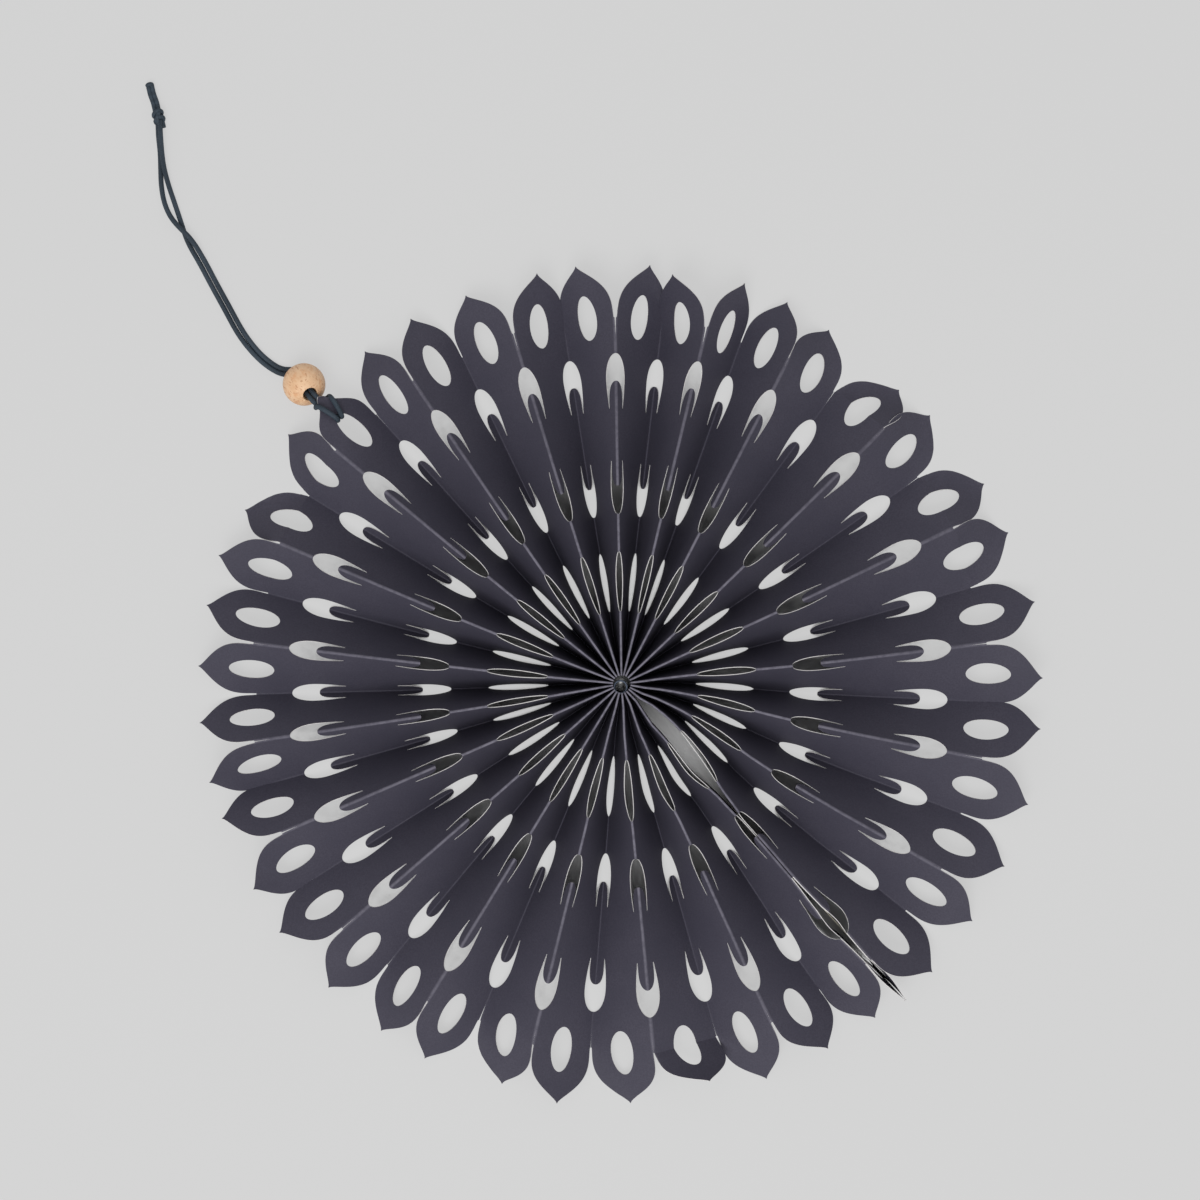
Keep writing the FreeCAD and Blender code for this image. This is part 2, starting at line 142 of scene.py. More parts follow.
# Where each petal's tip points: the card has taken some bends in handling
TIP_WAYS = [
    317.3, 326.2, 334.8, 343.8, 354.2, 361.1, 371.4, 381.4, 388.9, 401.0, 406.7, 419.6, 426.5,
    432.9, 442.7, 445.9, 456.0, 461.4, 471.6, 479.8, 487.4, 496.3, 502.9, 514.9, 521.9, 528.9,
    537.3, 545.1, 553.3, 558.5, 569.0, 575.9, 585.9, 595.3, 602.3, 613.5, 621.4, 631.5, 642.7,
    650.5, 659.9, 667.8,
]
# How far out each petal's tip reaches in plan
TIP_REACH = [
    99.9, 100.5, 100.7, 100.5, 99.4, 99.5, 100.0, 99.4, 99.1, 97.9, 96.7, 98.1, 99.1,
    99.2, 97.1, 99.3, 99.2, 98.9, 99.2, 99.9, 99.7, 99.3, 98.7, 98.5, 99.6, 99.5,
    99.9, 99.7, 99.3, 98.8, 98.7, 99.2, 99.3, 100.0, 100.0, 99.0, 99.7, 99.6, 94.9,
    99.9, 98.3, 98.8,
]
# Petals with a sharp crease across them
CREASED_PETALS = {7, 8, 10, 22, 23, 24, 38}
LAST = len(FOLDS) - 1
SEAM = math.radians(FOLDS[0])
# Thickness of the card and the least radius of its folds
THICK = 0.16
FOLD_ROUND = 0.15
# The gathered middle stands a little off the centre of the rim
HUB_ASIDE = Vector((0.26, 0.79, 0.0))
# Radii of the card's inner edge, of the notches, of the crease in bent petals and of the tips
HUB = 2.0
NOTCH = 86.3
CREASE = 86.6
TIP = 100.0
# Height of the mountain folds at the hub, at the notches and beside the seam
DEPTH = 16.0
RIM_RISE = 9.4
SEAM_RISE = 12.0
# Even spacing of the folds, in degrees
EVEN = 180 / 21
# The cord holds one petal up: rise of its folds for each mm past the hole's inner end
LIFTED = {21: 0.28, 22: 0.20}
LIFT_START = 79.75
LIFT_REACH = 21.75
CORD_PETAL = 21
# That petal is pinched across near its end, and its tip curls up
PINCH = 0.48
PINCH_AT = 97.0
CURL_START = 96.8
# Every petal leans aside from here on, and each panel is a little bowed
BEND_START = 82.5
BOW = 0.28
PANEL_WIDTH = 16.0
# Width of the flaps' pale ridge, and the radius from which it is bare
RIDGE = 0.32
RIDGE_START = 58
# Gape of the seam at each radius
GAPE = [
    (0, 0.1), (5.5, 0.6), (10.5, 3.2), (17, 3.6), (24, 3.5), (37, 0.9), (43, 0.16), (60, 0.16),
    (67, 0.9), (74.5, 2.3), (79, 1.4), (84, 0.9), (110, 0.5),
]
# The seam wanders a little to either side of its straight line
DRIFT = [
    (0, 0.0), (10, 0.8), (16, 1.1), (28, 0.4), (45, 0.0), (74, -0.7), (88, -0.6), (100, -0.3),
]
# How many folds away the seam's push is felt
SPREADING = [(40, 4.5), (66, 1.1)]


def eased(table, at):
    """A smooth reading between the values of a table."""
    k = max(1, min(len(table) - 1, bisect.bisect_right([row[0] for row in table], at)))
    (a, low), (b, high) = table[k - 1], table[k]
    share = max(0.0, min(1.0, (at - a) / (b - a)))
    return low + (high - low) * share * share * (3 - 2 * share)


def along(radius, angle):
    return Vector((radius * math.cos(angle), radius * math.sin(angle), 0.0))


def across(angle):
    return Vector((-math.sin(angle), math.cos(angle), 0.0))


def fold_place(fold, radius):
    """A fold line in plan; the folds beside the gaping seam are pushed together."""
    point = along(radius, math.radians(FOLDS[fold]))
    gape = eased(GAPE, radius) / 2 + THICK / 2 + FOLD_ROUND
    drift = eased(DRIFT, radius)
    spread = eased(SPREADING, radius)
    push = (drift + gape) * math.exp(-fold / spread)
    push += (drift - gape) * math.exp(-(LAST - fold) / spread)
    return point + across(SEAM) * push + HUB_ASIDE * max(0.0, 1 - radius / 60) ** 2


def fold_rise(fold, radius):
    lift = LIFTED.get(fold, 0.0) * max(0.0, radius - LIFT_START)
    if fold % 2:
        return lift + THICK / 2
    outer = SEAM_RISE
    if 0 < fold < LAST:
        outer = RIM_RISE * 2 * EVEN / (FOLDS[fold + 1] - FOLDS[fold - 1])
    return DEPTH - (DEPTH - outer) * (radius / NOTCH) ** 2 + lift - THICK / 2


def rounded_slope(width, height, run, radius):
    """A point on a panel's cross-section, by its share of the way from mountain to valley.

    The section leaves the mountain level, turns over a small radius into a straight slope
    and levels out again over the same radius at the valley.
    """
    bend = min(FOLD_ROUND + 0.003 * radius, 0.45 * width)
    reach = math.hypot(width, height - 2 * bend)
    slope = math.atan2(height - 2 * bend, width) + math.asin(min(1.0, 2 * bend / reach))
    straight = math.sqrt(max(0.0, reach ** 2 - 4 * bend ** 2))
    arc = bend * slope
    way = run * (2 * arc + straight)
    if way < arc:
        turn = way / bend
        return bend * math.sin(turn), -bend * (1 - math.cos(turn)), slope
    if way > arc + straight:
        turn = (2 * arc + straight - way) / bend
        return width - bend * math.sin(turn), -height + bend * (1 - math.cos(turn)), slope
    side = bend * math.sin(slope) + (way - arc) * math.cos(slope)
    down = bend * (1 - math.cos(slope)) + (way - arc) * math.sin(slope)
    return side, -down, slope


def on_panel(panel, radius, share):
    """A point of the card, by its panel, its radius and its share of the panel's width."""
    squeeze = 0.0
    if panel == CORD_PETAL:
        reach = 3.0 if radius < PINCH_AT else 1.8
        squeeze = PINCH * math.exp(-((radius - PINCH_AT) / reach) ** 2)
        share = 0.5 + (share - 0.5) * (1 - squeeze)
    mountain, valley = (panel, panel + 1) if panel % 2 == 0 else (panel + 1, panel)
    run = share if panel % 2 == 0 else 1 - share
    crest, foot = fold_place(mountain, radius), fold_place(valley, radius)
    top, low = fold_rise(mountain, radius), fold_rise(valley, radius)
    width = (foot - crest).length
    way = (foot - crest) / width
    side, down, slope = rounded_slope(width, top - low, run, radius)
    point = crest + way * side + Vector((0, 0, top + down))
    if panel == CORD_PETAL and radius > LIFT_START:
        out = (radius - LIFT_START) / LIFT_REACH
        fold_over = min(run * (1 - out), (1 - run) * out)
        point.z += 5.1 * fold_over + 1.2 * squeeze * math.sin(math.pi * run)
    upright = way * math.sin(slope) + Vector((0, 0, math.cos(slope)))
    # a slight bow in every panel, more of it further out
    bow = BOW * math.sin(panel * 2.4 + 0.7) * math.sin(math.pi * run) * (radius / TIP) ** 1.5
    point += upright * bow
    start = CREASE if panel in CREASED_PETALS else BEND_START
    if radius > start:
        middle = math.radians(FOLDS[panel] + FOLDS[panel + 1]) / 2
        lean = (math.radians(TIP_WAYS[panel]) - middle) * TIP
        facing = across(middle).dot(upright)
        turned = max(-4.2 / upright.z, min(8.0, lean / facing))
        beyond = (radius - start) / (TIP - start)
        swing = beyond if panel in CREASED_PETALS else beyond ** 1.7
        point += upright * turned * swing
        point += across(middle) * (lean - turned * facing) * swing
        point -= along(TIP - TIP_REACH[panel], middle) * beyond ** 1.5
        if panel == CORD_PETAL:
            curl = max(0.0, radius - CURL_START)
            point += Vector((0, 0, 0.22 * curl ** 2)) - along(0.12 * curl ** 2, middle)
        point.z = max(point.z, THICK * 0.6)
    return point


def on_flap(side, radius, share):
    """A point of an end panel, which stands upright at the seam."""
    top = fold_rise(0, radius)
    arc = FOLD_ROUND * math.pi / 2
    way = share * (arc + top - FOLD_ROUND - 0.02)
    turn = min(way, arc) / FOLD_ROUND
    ridge = eased(GAPE, radius) / 2 + THICK / 2 + FOLD_ROUND
    aside = ridge - FOLD_ROUND * math.sin(turn)
    if radius > NOTCH:
        parting = math.sin(math.pi * min(1.0, (radius - NOTCH) / (TIP - NOTCH)) ** 0.8)
        out = min(1.0, (radius - NOTCH) / 4)
        aside -= out * share * (ridge - 0.12)
        aside += (1 - share) * parting * (0.9 if side > 0 else 0.3)
    height = top - FOLD_ROUND * (1 - math.cos(turn)) - max(0.0, way - arc)
    fold = 0 if side > 0 else LAST
    base = fold_place(fold, radius) - across(SEAM) * side * ridge
    return base + across(SEAM) * side * aside + Vector((0, 0, height))


# Flat outline of one panel: x is the radius and y the share of its width, times ten
SPREAD = 10.0
# Where each cut starts and how long it is; for a tongued one, the tongue's length too
INNER_CUT = (17.1, 14.2)
MIDDLE_CUT = (40.1, 12.5, 5.8)
OUTER_CUT = (65.1, 12.7, 6.2)
HOLE_START = 81.7
HOLE_LENGTH = 10.9


def tongued(start, length, tongue, outward):
    """Half of a long cut: a rounded outside, and a tongue of card between two thin prongs."""
    reach = tongue / length
    outside = []
    for k in range(13):
        share = 0.55 * k / 12
        outside.append((share, 0.165 + 0.045 * math.sin(math.pi / 2 * k / 12)))
    for k in range(1, 13):
        turn = math.pi / 2 * k / 12
        outside.append((0.55 + 0.45 * math.sin(turn), 0.21 * math.cos(turn)))
    inside = []
    for k in range(13):
        share = math.sin(math.pi / 2 * k / 12)
        inside.append((reach * share, 0.15 * (1 - share ** 4) ** 0.5))
    half = inside[::-1] + [(-0.012, 0.157)] + outside
    if outward:
        return [(start + share * length, width) for share, width in half]
    return [(start + (1 - share) * length, width) for share, width in reversed(half)]


def leaf(start, length):
    """Half of a long narrow cut, pointed at both ends."""
    return [
        (start + length * k / 18, 0.2 * max(0.0, math.sin(math.pi * (k / 18) ** 0.9)) ** 0.6)
        for k in range(19)
    ]


def petal_side():
    """Edge of a petal from the notch to the tip, as a share from the fold."""
    edge = [(NOTCH, 0.0), (NOTCH + 0.12, 0.012)]
    for k in range(1, 22):
        share = (k / 21) ** 0.8
        width = 0.968 * (1 - share ** 3.3) ** 1.5
        edge.append((NOTCH + (TIP - NOTCH) * share, 0.5 - 0.5 * width))
    return edge


side_line = [(HUB, 0.0)]
side_line += leaf(*INNER_CUT)
side_line += tongued(*MIDDLE_CUT, False)
side_line += tongued(*OUTER_CUT, True)
side_line += petal_side()
outline = side_line + [(radius, 1 - share) for radius, share in side_line[-2::-1]]
petal_hole = []
for k in range(36):
    turn = 2 * math.pi * k / 36
    egg = 1 + 0.1 * math.cos(turn)
    onward = HOLE_START + HOLE_LENGTH * (1 - math.cos(turn)) / 2
    petal_hole.append((onward, 0.5 + 0.175 * egg * math.sin(turn)))

flat_curve = bpy.data.curves.new("flat_panel", "CURVE")
flat_curve.dimensions = "2D"
flat_curve.fill_mode = "BOTH"
for ring in (outline, petal_hole):
    spline = flat_curve.splines.new("POLY")
    spline.points.add(len(ring) - 1)
    spline.use_cyclic_u = True
    for point, (radius, share) in zip(spline.points, ring):
        point.co = (radius, share * SPREAD, 0.0, 1.0)
flat_object = bpy.data.objects.new("flat_panel", flat_curve)
scene.collection.objects.link(flat_object)
flat_mesh = bpy.data.meshes.new_from_object(flat_object)
bpy.data.objects.remove(flat_object)

flat = bmesh.new()
flat.from_mesh(flat_mesh)
bmesh.ops.remove_doubles(flat, verts=flat.verts, dist=1e-5)
# bending lines along the folds, closest beside them, and across the panel
RING_STEP, RINGS = 3.2, 30
near_fold = [0.0045, 0.009, 0.0135, 0.018, 0.026, 0.045]
lines = near_fold + [0.14, 0.32, 0.5]
lines += [1 - share for share in lines[:-1]]
cuts = [((0, share * SPREAD, 0), (0, 1, 0)) for share in lines]
cuts += [((HUB + RING_STEP * k, 0, 0), (1, 0, 0)) for k in range(1, RINGS + 1)]
cuts.append(((CREASE, 0, 0), (1, 0, 0)))
for place, normal in cuts:
    bmesh.ops.bisect_plane(
        flat, geom=flat.verts[:] + flat.edges[:] + flat.faces[:], dist=1e-5,
        plane_co=place, plane_no=normal,
    )
# the slanted edges come from the flat fill and are not needed
slanted = []
for edge in flat.edges:
    a, b = (vertex.co for vertex in edge.verts)
    if len(edge.link_faces) == 2 and abs(a.x - b.x) > 1e-4 and abs(a.y - b.y) > 1e-4:
        slanted.append(edge)
bmesh.ops.dissolve_edges(flat, edges=slanted, use_verts=False)
# the points that those edges leave inside other edges go too
loose_ends = [v for v in flat.verts if len(v.link_edges) == 2 and not v.is_boundary]
bmesh.ops.dissolve_verts(flat, verts=loose_ends)
bmesh.ops.recalc_face_normals(flat, faces=flat.faces)
if sum(face.normal.z for face in flat.faces) < 0:
    bmesh.ops.reverse_faces(flat, faces=flat.faces)
flat.to_mesh(flat_mesh)
flat.free()

card = bmesh.new()
where = card.verts.layers.float_vector.new("where")
for panel in range(-1, LAST + 1):
    before, faces_before = len(card.verts), len(card.faces)
    card.from_mesh(flat_mesh)
    card.verts.ensure_lookup_table()
    for vertex in card.verts[before:]:
        radius, share = vertex.co.x, vertex.co.y / SPREAD
        from_mountain = share if panel % 2 == 0 else 1 - share
        if panel == -1:
            place, from_mountain = on_flap(1, radius, 1 - share), 1 - share
        elif panel == LAST:
            place, from_mountain = on_flap(-1, radius, share), share
        else:
            place = on_panel(panel, radius, share)
        vertex[where] = (from_mountain * PANEL_WIDTH, radius, panel)
        vertex.co = place * MM
    for face in list(card.faces)[faces_before:]:
        on_ridge = all(v[where][0] < RIDGE and v[where][1] > RIDGE_START for v in face.verts)
        if panel in (-1, LAST) and on_ridge:
            face.material_index = 1
bmesh.ops.remove_doubles(card, verts=card.verts, dist=2e-6)
sheet_uv = card.loops.layers.uv.new("sheet")
for face in card.faces:
    face.smooth = True
    for loop in face.loops:
        loop[sheet_uv].uv = (loop.vert[where][0] * 0.01, loop.vert[where][1] * 0.01)
for edge in card.edges:
    (_, near, one), (_, far, other) = (vertex[where] for vertex in edge.verts)
    on_crease = abs(near - CREASE) < 0.001 and abs(far - CREASE) < 0.001
    if len(edge.link_faces) == 1 or on_crease and CREASED_PETALS & {round(one), round(other)}:
        edge.smooth = False
card.verts.layers.float_vector.remove(where)
paper = add_object("folded_card", mesh_from("folded_card", card))
wall = paper.modifiers.new("card_thickness", "SOLIDIFY")
wall.thickness = THICK * MM
wall.offset = 0.0
wall.use_rim = True
wall.use_even_offset = False
wall.material_offset_rim = 1

# Turned bead with softened edges at its bore
BEAD = Vector((-74.45, 70.97, 5.0))
BORE = Vector((-0.3941, 0.5566, -0.7314)).normalized()
ball, bore, ease = 5.0, 1.7, 0.3  # radii of the ball, of its bore and of the bore's edge
mouth = math.sqrt(ball ** 2 - bore ** 2)
profile = []
for k in range(25):
    turn = math.asin(mouth / ball) * 0.955 * (1 - k / 12)
    profile.append((ball * math.cos(turn), ball * math.sin(turn)))
profile += [(bore + ease * 0.55, -mouth + ease * 0.05), (bore + ease * 0.12, -mouth + ease * 0.4)]
profile += [(bore, -mouth + ease * 1.2), (bore, 0.0), (bore, mouth - ease * 1.2)]
profile += [(bore + ease * 0.12, mouth - ease * 0.4), (bore + ease * 0.55, mouth - ease * 0.05)]
lathe = bmesh.new()
ring = [lathe.verts.new((radius * MM, 0, height * MM)) for radius, height in profile]
ring_edges = [lathe.edges.new((a, b)) for a, b in zip(ring, ring[1:] + ring[:1])]
bmesh.ops.spin(
    lathe, geom=ring + ring_edges, cent=(0, 0, 0), axis=(0, 0, 1), dvec=(0, 0, 0),
    angle=2 * math.pi, steps=64, use_merge=True, use_duplicate=False,
)
bmesh.ops.remove_doubles(lathe, verts=lathe.verts, dist=1e-7)
bmesh.ops.recalc_face_normals(lathe, faces=lathe.faces)
turned = Matrix.Translation(BEAD * MM) @ (-BORE).to_track_quat("Z", "X").to_matrix().to_4x4()
bmesh.ops.transform(lathe, matrix=turned, verts=lathe.verts)
bead_mesh = mesh_from("turned_bead", lathe)
smooth(bead_mesh)
bead = add_object("turned_bead", bead_mesh)

# Knot: the two strands wound round themselves, then the cut ends melted into one
KNOT = Vector((-109.3, 134.6, 1.5))
KNOT_WAY = Vector((-2.3, 7.9, 0)).normalized()
KNOT_SIDE = Vector((KNOT_WAY.y, -KNOT_WAY.x, 0))


def by_knot(on, aside, up):
    return tuple(KNOT + KNOT_WAY * on + KNOT_SIDE * aside + Vector((0, 0, up)))


knot_shape = bmesh.new()


def add_wound(name, points, radius):
    mesh, _ = tube(name, points, radius, steps=6, sides=4)
    knot_shape.from_mesh(mesh)


for k, (shift, phase) in enumerate(((-0.75, 0.4), (0.75, 0.4 + math.pi * 0.9))):
    winding = []
    for step in range(15):
        turn = phase + 2 * math.pi * 1.2 * step / 14
        slant = shift + 0.55 * math.sin(turn + 0.5)
        winding.append(by_knot(slant, 1.02 * math.cos(turn), 0.95 * math.sin(turn)))
    add_wound(f"wrap_{k}", winding, 0.52)
add_wound(
    "crossing",
    [by_knot(-2.3, 0.1, -0.2), by_knot(-1.5, -0.5, 0.5), by_knot(-0.4, -0.3, 1.05),
     by_knot(0.7, 0.35, 1.05), by_knot(1.5, 0.75, 0.4), by_knot(2.0, 0.3, -0.4)],
    0.5,
)
for side in (1, -1):
    core = [by_knot(-2.6, side * 0.42, -0.5)]
    for step in range(1, 9):
        on = -2.6 + 10.6 * step / 8
        aside = side * 0.42 + 0.08 * math.sin(step * 1.7)
        core.append(by_knot(on, aside, -0.62 + 0.05 * math.cos(step * 2.1)))
    add_wound(f"end_{side}", core, 0.56)
melted = Matrix.Translation(Vector(by_knot(8.05, 0.0, -0.6)) * MM)
melted @= KNOT_WAY.to_track_quat("X", "Z").to_matrix().to_4x4()
melted @= Matrix.Diagonal((0.62 * MM, 1.02 * MM, 0.78 * MM, 1))
bmesh.ops.create_icosphere(knot_shape, subdivisions=4, radius=1.0, matrix=melted)
knot_mesh = mesh_from("knot", knot_shape)
smooth(knot_mesh)
knot = add_object("knot", knot_mesh)

# Thread round the gathered inner edge
gather = bmesh.new()
for k, (height, radius) in enumerate(((14.42, 1.46), (14.78, 1.5))):
    circle = [
        (radius * math.cos(turn), radius * math.sin(turn), height + 0.06 * math.sin(3 * turn + k))
        for turn in (2 * math.pi * step / 16 for step in range(16))
    ]
    mesh, _ = tube(f"gather_{k}", circle, 0.2, steps=4, sides=3, closed=True)
    gather.from_mesh(mesh)
thread = add_object("gathering_thread", mesh_from("gathering_thread", gather))
smooth(thread.data)


class Value:
    """A shader socket that can be used in sums."""

    def __init__(self, finish, socket):
        self.finish = finish
        self.socket = socket

    def combine(self, operation, first, second):
        return self.finish.node("ShaderNodeMath", {"operation": operation}, {0: first, 1: second})

    def __add__(self, other):
        return self.combine("ADD", self, other)

    __radd__ = __add__

    def __sub__(self, other):
        return self.combine("SUBTRACT", self, other)

    def __rsub__(self, other):
        return self.combine("SUBTRACT", other, self)

    def __mul__(self, other):
        return self.combine("MULTIPLY", self, other)

    __rmul__ = __mul__

    def __truediv__(self, other):
        return self.combine("DIVIDE", self, other)

    def sine(self):
        return self.finish.node("ShaderNodeMath", {"operation": "SINE"}, {0: self})

    def between(self, low, high):
        """0 at the low value, 1 at the high one, smooth in the middle."""
        return self.finish.node(
            "ShaderNodeMapRange", {"interpolation_type": "SMOOTHSTEP"}, {0: self, 1: low, 2: high}
        )


class Finish:
    """A procedural material built round one principled shader."""

    def __init__(self, name, **constants):
        self.material = bpy.data.materials.new(name)
        self.material.use_nodes = True
        self.tree = self.material.node_tree
        self.shader = self.tree.nodes["Principled BSDF"]
        for label, value in constants.items():
            title = label.replace("_", " ").title().replace("Ior", "IOR")
            self.shader.inputs[title].default_value = value

    def node(self, kind, settings=None, inputs=None, output=0):
        """Adds a node, sets it up, and gives its inputs values or links."""
        added = self.tree.nodes.new(kind)
        for label, value in (settings or {}).items():
            setattr(added, label, value)
        for label, value in (inputs or {}).items():
            if isinstance(value, Value):
                self.tree.links.new(value.socket, added.inputs[label])
            else:
                added.inputs[label].default_value = value
        return Value(self, added.outputs[output])

    def coordinates(self):
        return self.node("ShaderNodeTexCoord", output="Object")

    def noise(self, at, scale, detail=2.0, roughness=0.5):
        return self.node(
            "ShaderNodeTexNoise", None,
            {"Vector": at, "Scale": scale, "Detail": detail, "Roughness": roughness},
        )

    def mix(self, share, first, second):
        return self.node("ShaderNodeMix", {"data_type": "RGBA"}, {0: share, 6: first, 7: second}, 2)

    def drive(self, label, value):
        self.tree.links.new(value.socket, self.shader.inputs[label])

    def bump(self, height, strength, distance):
        inputs = {"Height": height, "Strength": strength, "Distance": distance}
        self.drive("Normal", self.node("ShaderNodeBump", None, inputs))


def colour(red, green, blue):
    return (red, green, blue, 1.0)


# Dark card: fibrous, slightly mottled, and paler along the mountain folds: partly crease wear,
# partly a painted highlight on the ridges
card_finish = Finish("dark slate card", specular_ior_level=0.35)
at = card_finish.coordinates()
sheet_at = card_finish.node("ShaderNodeUVMap", {"uv_map": "sheet"})
fibre = card_finish.noise(at, 2600, 3.0, 0.6)
cloud = card_finish.noise(at, 90, 2.0)
wear_and_sheen_mottle = card_finish.noise(at, 700, 3.0, 0.65)
tone = card_finish.mix(
    fibre.between(0.3, 0.7), colour(0.051, 0.047, 0.069), colour(0.068, 0.064, 0.090)
)
tone = card_finish.mix(cloud.between(0.3, 0.7) * 0.35, tone, colour(0.044, 0.042, 0.064))
split = card_finish.tree.nodes.new("ShaderNodeSeparateXYZ")
card_finish.tree.links.new(sheet_at.socket, split.inputs[0])
from_fold = Value(card_finish, split.outputs[0]) * 100
outward = Value(card_finish, split.outputs[1]) * 100
fading = 1 - 0.55 * outward.between(15, 75)
# painted highlight on the mountain ridges, with some crease wear: paler near each mountain fold,
# fainter further out
ridge_highlight_and_wear = 1 - (from_fold / (1 + outward * 0.012)).between(0.1, 0.32)
ridge_highlight_and_wear = ridge_highlight_and_wear * (0.55 + 0.45 * wear_and_sheen_mottle.between(0.35, 0.6)) * fading
tone = card_finish.mix(ridge_highlight_and_wear, tone, colour(0.19, 0.18, 0.225))
card_finish.drive("Base Color", tone)
card_finish.drive("Roughness", 0.62 + fibre * 0.12 - ridge_highlight_and_wear * 0.1)
card_finish.bump(fibre + 0.4 * wear_and_sheen_mottle, 0.25, 0.00004)

# Pale core of the card, seen on its cut edges; painted shade darkens it at the edge gathered round
# the hub
edge_finish = Finish("pale card core", roughness=0.85)
at = edge_finish.coordinates()
sheet_at = edge_finish.node("ShaderNodeUVMap", {"uv_map": "sheet"})
speckle = edge_finish.noise(at, 1500)
core = edge_finish.mix(speckle, colour(0.62, 0.60, 0.60), colour(0.82, 0.80, 0.79))
split = edge_finish.tree.nodes.new("ShaderNodeSeparateXYZ")
edge_finish.tree.links.new(sheet_at.socket, split.inputs[0])
outward = Value(edge_finish, split.outputs[1]) * 100
# painted shade: the core turns dark near the hub, deep in the gathered middle
core = edge_finish.mix(outward.between(2.2, 4.5), colour(0.03, 0.03, 0.05), core)
edge_finish.drive("Base Color", core)
edge_finish.bump(edge_finish.noise(at, 3000), 0.3, 0.00003)

# Wood of the bead: fine grain along the bore, small darker flecks
wood = Finish("turned wood", coat_weight=0.12, coat_roughness=0.35)
at = wood.coordinates()
placed = wood.node(
    "ShaderNodeMapping", {"vector_type": "TEXTURE"},
    {"Vector": at, "Location": BEAD * MM, "Rotation": turned.to_euler()},
)
stretched = wood.node("ShaderNodeMapping", None, {"Vector": placed, "Scale": (1.0, 1.0, 0.22)})
grain = wood.noise(stretched, 900, 4.0, 0.6)
broad = wood.noise(placed, 260, 2.0)
pores = wood.noise(stretched, 2300, 2.0)
tone = wood.mix(grain.between(0.3, 0.72), colour(0.76, 0.45, 0.25), colour(0.87, 0.58, 0.35))
tone = wood.mix(broad.between(0.35, 0.7) * 0.5, tone, colour(0.90, 0.62, 0.40))
blush = wood.noise(placed, 420, 3.0, 0.65)
tone = wood.mix(blush.between(0.52, 0.66) * 0.5, tone, colour(0.72, 0.33, 0.14))
tone = wood.mix(pores.between(0.56, 0.68) * 0.6, tone, colour(0.46, 0.19, 0.08))
wood.drive("Base Color", tone)
wood.drive("Roughness", 0.46 + grain * 0.14)
wood.bump(grain + 0.5 * pores, 0.25, 0.00005)


def braided(name, turns, along_count):
    """Matt dark blue cord, its braid laid out along the tube, with painted shade in the braid's
    grooves.
    """
    finish = Finish(name, specular_ior_level=0.4)
    tube_at = finish.node("ShaderNodeUVMap", {"uv_map": "UVMap"})
    split = finish.tree.nodes.new("ShaderNodeSeparateXYZ")
    finish.tree.links.new(tube_at.socket, split.inputs[0])
    around, onward = Value(finish, split.outputs[0]), Value(finish, split.outputs[1])
    left = ((around * turns + onward * along_count) * math.tau).sine()
    right = ((around * turns - onward * along_count) * math.tau).sine()
    plait_relief_and_groove_shade = (left * right) * 0.5 + 0.5
    at = finish.coordinates()
    fibre = finish.noise(at, 4200, 2.0)
    cloud = finish.noise(at, 300, 2.0)
    # painted shade: darker in the braid's grooves, lighter on its crowns
    tone = finish.mix(plait_relief_and_groove_shade, colour(0.016, 0.025, 0.036), colour(0.040, 0.060, 0.082))
    tone = finish.mix(fibre.between(0.45, 0.75) * 0.5, tone, colour(0.075, 0.10, 0.13))
    tone = finish.mix(cloud.between(0.4, 0.7) * 0.3, tone, colour(0.022, 0.035, 0.05))
    finish.drive("Base Color", tone)
    finish.drive("Roughness", 0.55 + fibre * 0.2)
    finish.bump(plait_relief_and_groove_shade + 0.4 * fibre, 0.6, 0.00006)
    return finish


cord_finish = braided("dark blue cord", 3, 70)
knot_finish = braided("dark blue cord, knotted", 3, 7)

# Double-sided tape: beige film with a faint tissue in it
tape_finish = Finish("double-sided tape", roughness=0.4)
at = tape_finish.coordinates()
tissue = tape_finish.noise(at, 1100, 4.0, 0.7)
tone = tape_finish.mix(tissue, colour(0.50, 0.42, 0.28), colour(0.74, 0.68, 0.52))
tape_finish.drive("Base Color", tone)
tape_finish.bump(tissue, 0.3, 0.00004)

thread_finish = Finish("gathering thread", roughness=0.7)
at = thread_finish.coordinates()
ply = thread_finish.noise(at, 2500, 2.0)
tone = thread_finish.mix(ply, colour(0.03, 0.04, 0.06), colour(0.12, 0.15, 0.21))
thread_finish.drive("Base Color", tone)
thread_finish.bump(ply, 0.5, 0.00006)

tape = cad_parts["seam_tape"]
tape.data.materials.clear()
for piece, finishes in (
    (paper, (card_finish, edge_finish)),
    (bead, (wood,)),
    (knot, (knot_finish,)),
    (thread, (thread_finish,)),
    (cords[0][0], (cord_finish,)),
    (cords[1][0], (cord_finish,)),
    (tape, (tape_finish,)),
):
    for finish in finishes:
        piece.data.materials.append(finish.material)

for piece, slot, node in (
    (paper, "card", "pleated_paper"),
    (bead, "wood", "wooden_bead"),
    (knot, "cord", "cord_knot"),
    (thread, "thread", "hub_thread"),
    (cords[0][0], "cord", "cord_lower_strand"),
    (cords[1][0], "cord", "cord_upper_strand"),
):
    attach(piece, "root")
    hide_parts(node)

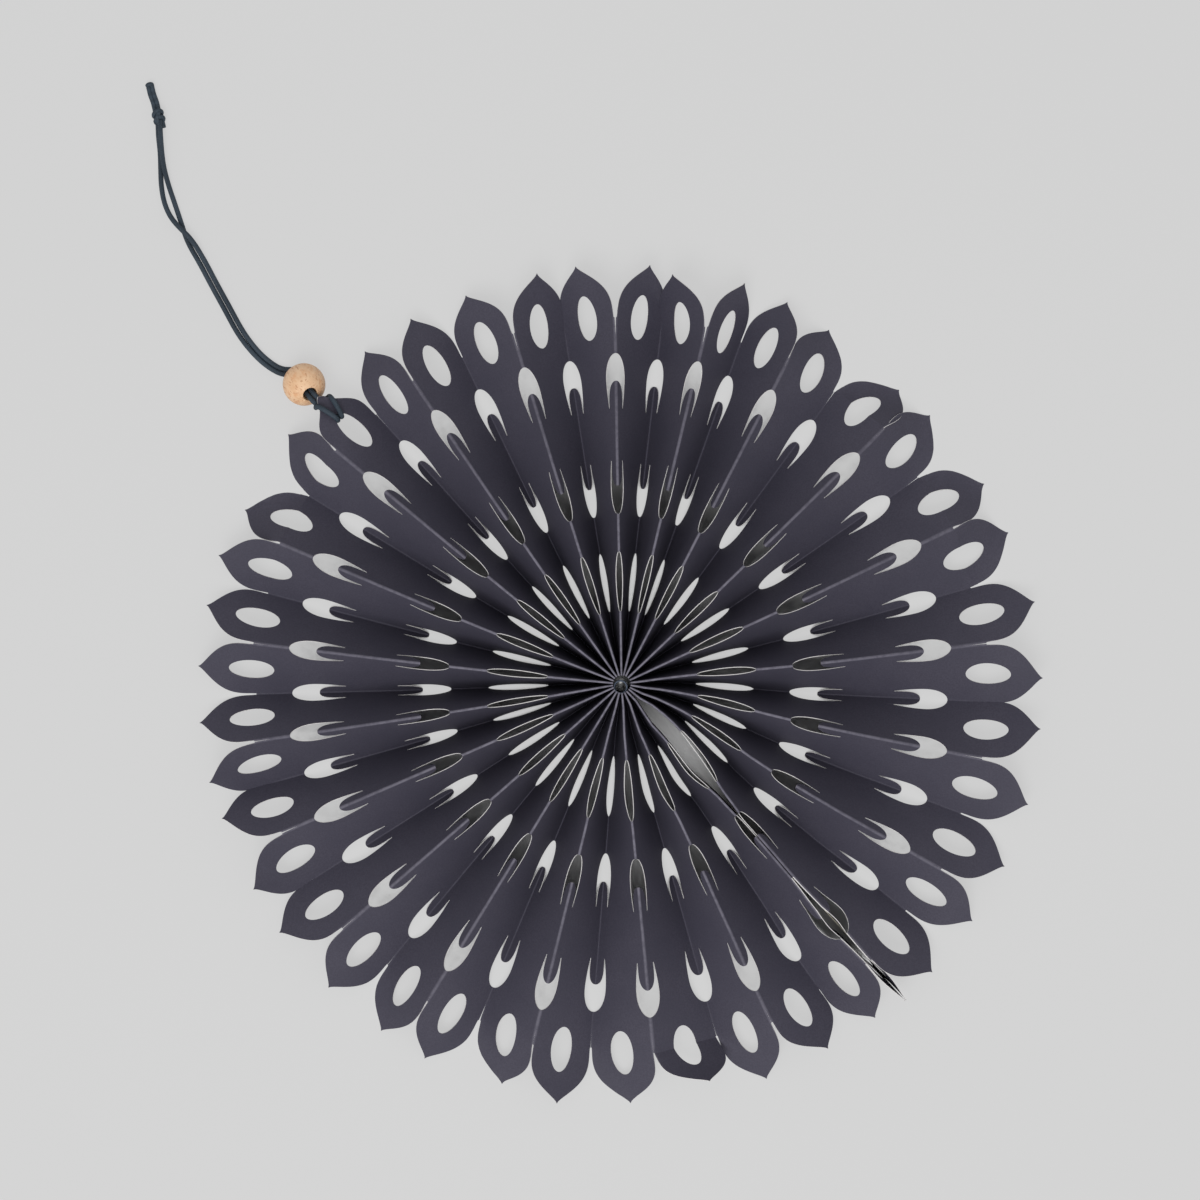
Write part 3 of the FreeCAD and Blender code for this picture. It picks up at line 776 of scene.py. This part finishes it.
# Floor, sky and one broad lamp from the near side. The camera sees the floor glow a little, so that
# it is pale behind the card's open cuts, and dark where the card shuts it in, as in the photograph.
FLOOR_TONE = colour(0.66, 0.66, 0.66)
GLOW = 0.8
floor_shape = bmesh.new()
bmesh.ops.create_grid(floor_shape, x_segments=1, y_segments=1, size=2.0)
floor = add_object("floor", mesh_from("floor", floor_shape))
floor_finish = Finish("pale floor", roughness=0.9, specular_ior_level=0.1)
floor_finish.shader.inputs["Base Color"].default_value = FLOOR_TONE
rays = floor_finish.tree.nodes.new("ShaderNodeLightPath")
ray_kinds = ("Is Camera Ray", "Is Glossy Ray", "Is Transmission Ray")
by_camera, by_gloss, through = (Value(floor_finish, rays.outputs[kind]) for kind in ray_kinds)
open_sky = floor_finish.node(
    "ShaderNodeAmbientOcclusion", {"samples": 32}, {"Distance": 0.05}, "AO"
)
here = floor_finish.coordinates()
from_hub = floor_finish.node("ShaderNodeVectorMath", {"operation": "LENGTH"}, {0: here}, "Value")
shut = 0.08 + 0.025 * from_hub.between(0.036, 0.044)
shut = shut - 0.045 * from_hub.between(0.056, 0.064)
# the card's two ends keep the light off the floor along the seam
by_seam = floor_finish.node(
    "ShaderNodeMapping", {"vector_type": "TEXTURE"}, {"Vector": here, "Rotation": (0, 0, SEAM)}
)
sides = floor_finish.tree.nodes.new("ShaderNodeSeparateXYZ")
floor_finish.tree.links.new(by_seam.socket, sides.inputs[0])
onward, beside = Value(floor_finish, sides.outputs[0]), Value(floor_finish, sides.outputs[1])
clear = (beside * beside * 1e6).between(12, 20)
clear = 1 - (1 - clear) * onward.between(0.034, 0.04) * (1 - onward.between(0.082, 0.086))
glow = floor_finish.node("ShaderNodeEmission", None, {"Color": FLOOR_TONE, "Strength": 1.0})
shade = Value(floor_finish, floor_finish.shader.outputs[0])
glowing = (by_camera + by_gloss + through) * open_sky.between(shut, shut + 0.035) * clear * GLOW
blend = floor_finish.node("ShaderNodeMixShader", None, {0: glowing, 1: shade, 2: glow})
floor_surface = floor_finish.tree.nodes["Material Output"].inputs["Surface"]
floor_finish.tree.links.new(blend.socket, floor_surface)
floor.data.materials.append(floor_finish.material)

world = bpy.data.worlds.new("studio")
world.use_nodes = True
world.node_tree.nodes["Background"].inputs["Color"].default_value = colour(1, 1, 1)
world.node_tree.nodes["Background"].inputs["Strength"].default_value = 0.54
scene.world = world


def lamp(name, place, size, power):
    data = bpy.data.lights.new(name, "AREA")
    data.shape = "SQUARE"
    data.size = size
    data.energy = power
    light = bpy.data.objects.new(name, data)
    light.location = place
    light.rotation_mode = "QUATERNION"
    light.rotation_quaternion = (Vector((0, 0, 0)) - Vector(place)).to_track_quat("-Z", "Y")
    scene.collection.objects.link(light)


lamp("broad_lamp", (-0.17, -0.52, 1.05), 0.7, 7.5)
